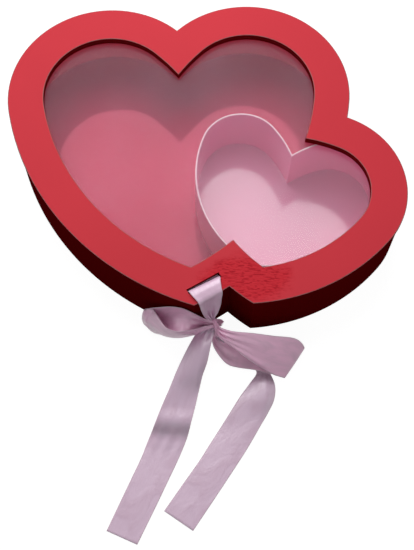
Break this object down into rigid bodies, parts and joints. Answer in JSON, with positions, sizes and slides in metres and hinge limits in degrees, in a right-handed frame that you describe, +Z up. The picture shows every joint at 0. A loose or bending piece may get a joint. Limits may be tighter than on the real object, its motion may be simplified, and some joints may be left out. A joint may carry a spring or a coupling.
{
  "type": "heart gift box",
  "caption": "Double heart rigid gift box with a lift-off window lid, a satin ribbon bow and a loose heart-shaped tray.",
  "frame": {"origin": "on the underside of the base, midway between the lobe centres of the big heart", "axes": "+Z up, out of the lid; +X to the right along the front, with the bow at the front, on the -Y side; +Y to the back, where the notch of the big heart is"},
  "size_m": [0.2965, 0.4078, 0.0575],
  "materials": {
    "red_wrap": "smooth red paper wrap",
    "dark_wrap": "smooth dark red paper wrap",
    "grey_board": "bare grey board",
    "foil_card": "glossy red foil card",
    "pink_card": "glossy pink card",
    "window": "clear film",
    "satin": "pale pink satin"
  },
  "bodies": {
    "base": {"underside_sheet": "dark_wrap", "floor_board": "grey_board", "floor_foil": "foil_card", "wall_big_left": "dark_wrap", "wall_big_right": "dark_wrap", "wall_big_tip": "dark_wrap", "wall_small_left": "dark_wrap", "wall_small_right": "dark_wrap", "lining_big_left": "foil_card", "lining_big_right": "foil_card", "lining_big_tip": "foil_card", "lining_small_left": "foil_card", "lining_small_right": "foil_card"},
    "lid": {"lid_upper_board": "red_wrap", "lid_lower_board": "red_wrap", "lid_window_film": "window", "rim_big_left": "dark_wrap", "rim_big_right": "dark_wrap", "rim_big_tip": "dark_wrap", "rim_small_left": "dark_wrap", "rim_small_right": "dark_wrap", "ribbon_strap": "satin", "ribbon_knot": "satin", "ribbon_loop_left": "satin", "ribbon_loop_right": "satin", "ribbon_tail_left": "satin", "ribbon_tail_right": "satin"},
    "tray": {"tray_floor": "pink_card", "tray_wall_left": "pink_card", "tray_wall_right": "pink_card"}
  },
  "joints": [
    {"name": "lid_lift", "type": "slide", "parent": "base", "child": "lid", "axis": [0, 0, 1], "range_m": [0, 0.12]},
    {"name": "tray_lift", "type": "slide", "parent": "base", "child": "tray", "axis": [0, 0, 1], "range_m": [0, 0.06]}
  ],
  "couplings": [
    {"joint": "tray_lift", "follows": "lid_lift", "ratio": 0.5}
  ]
}
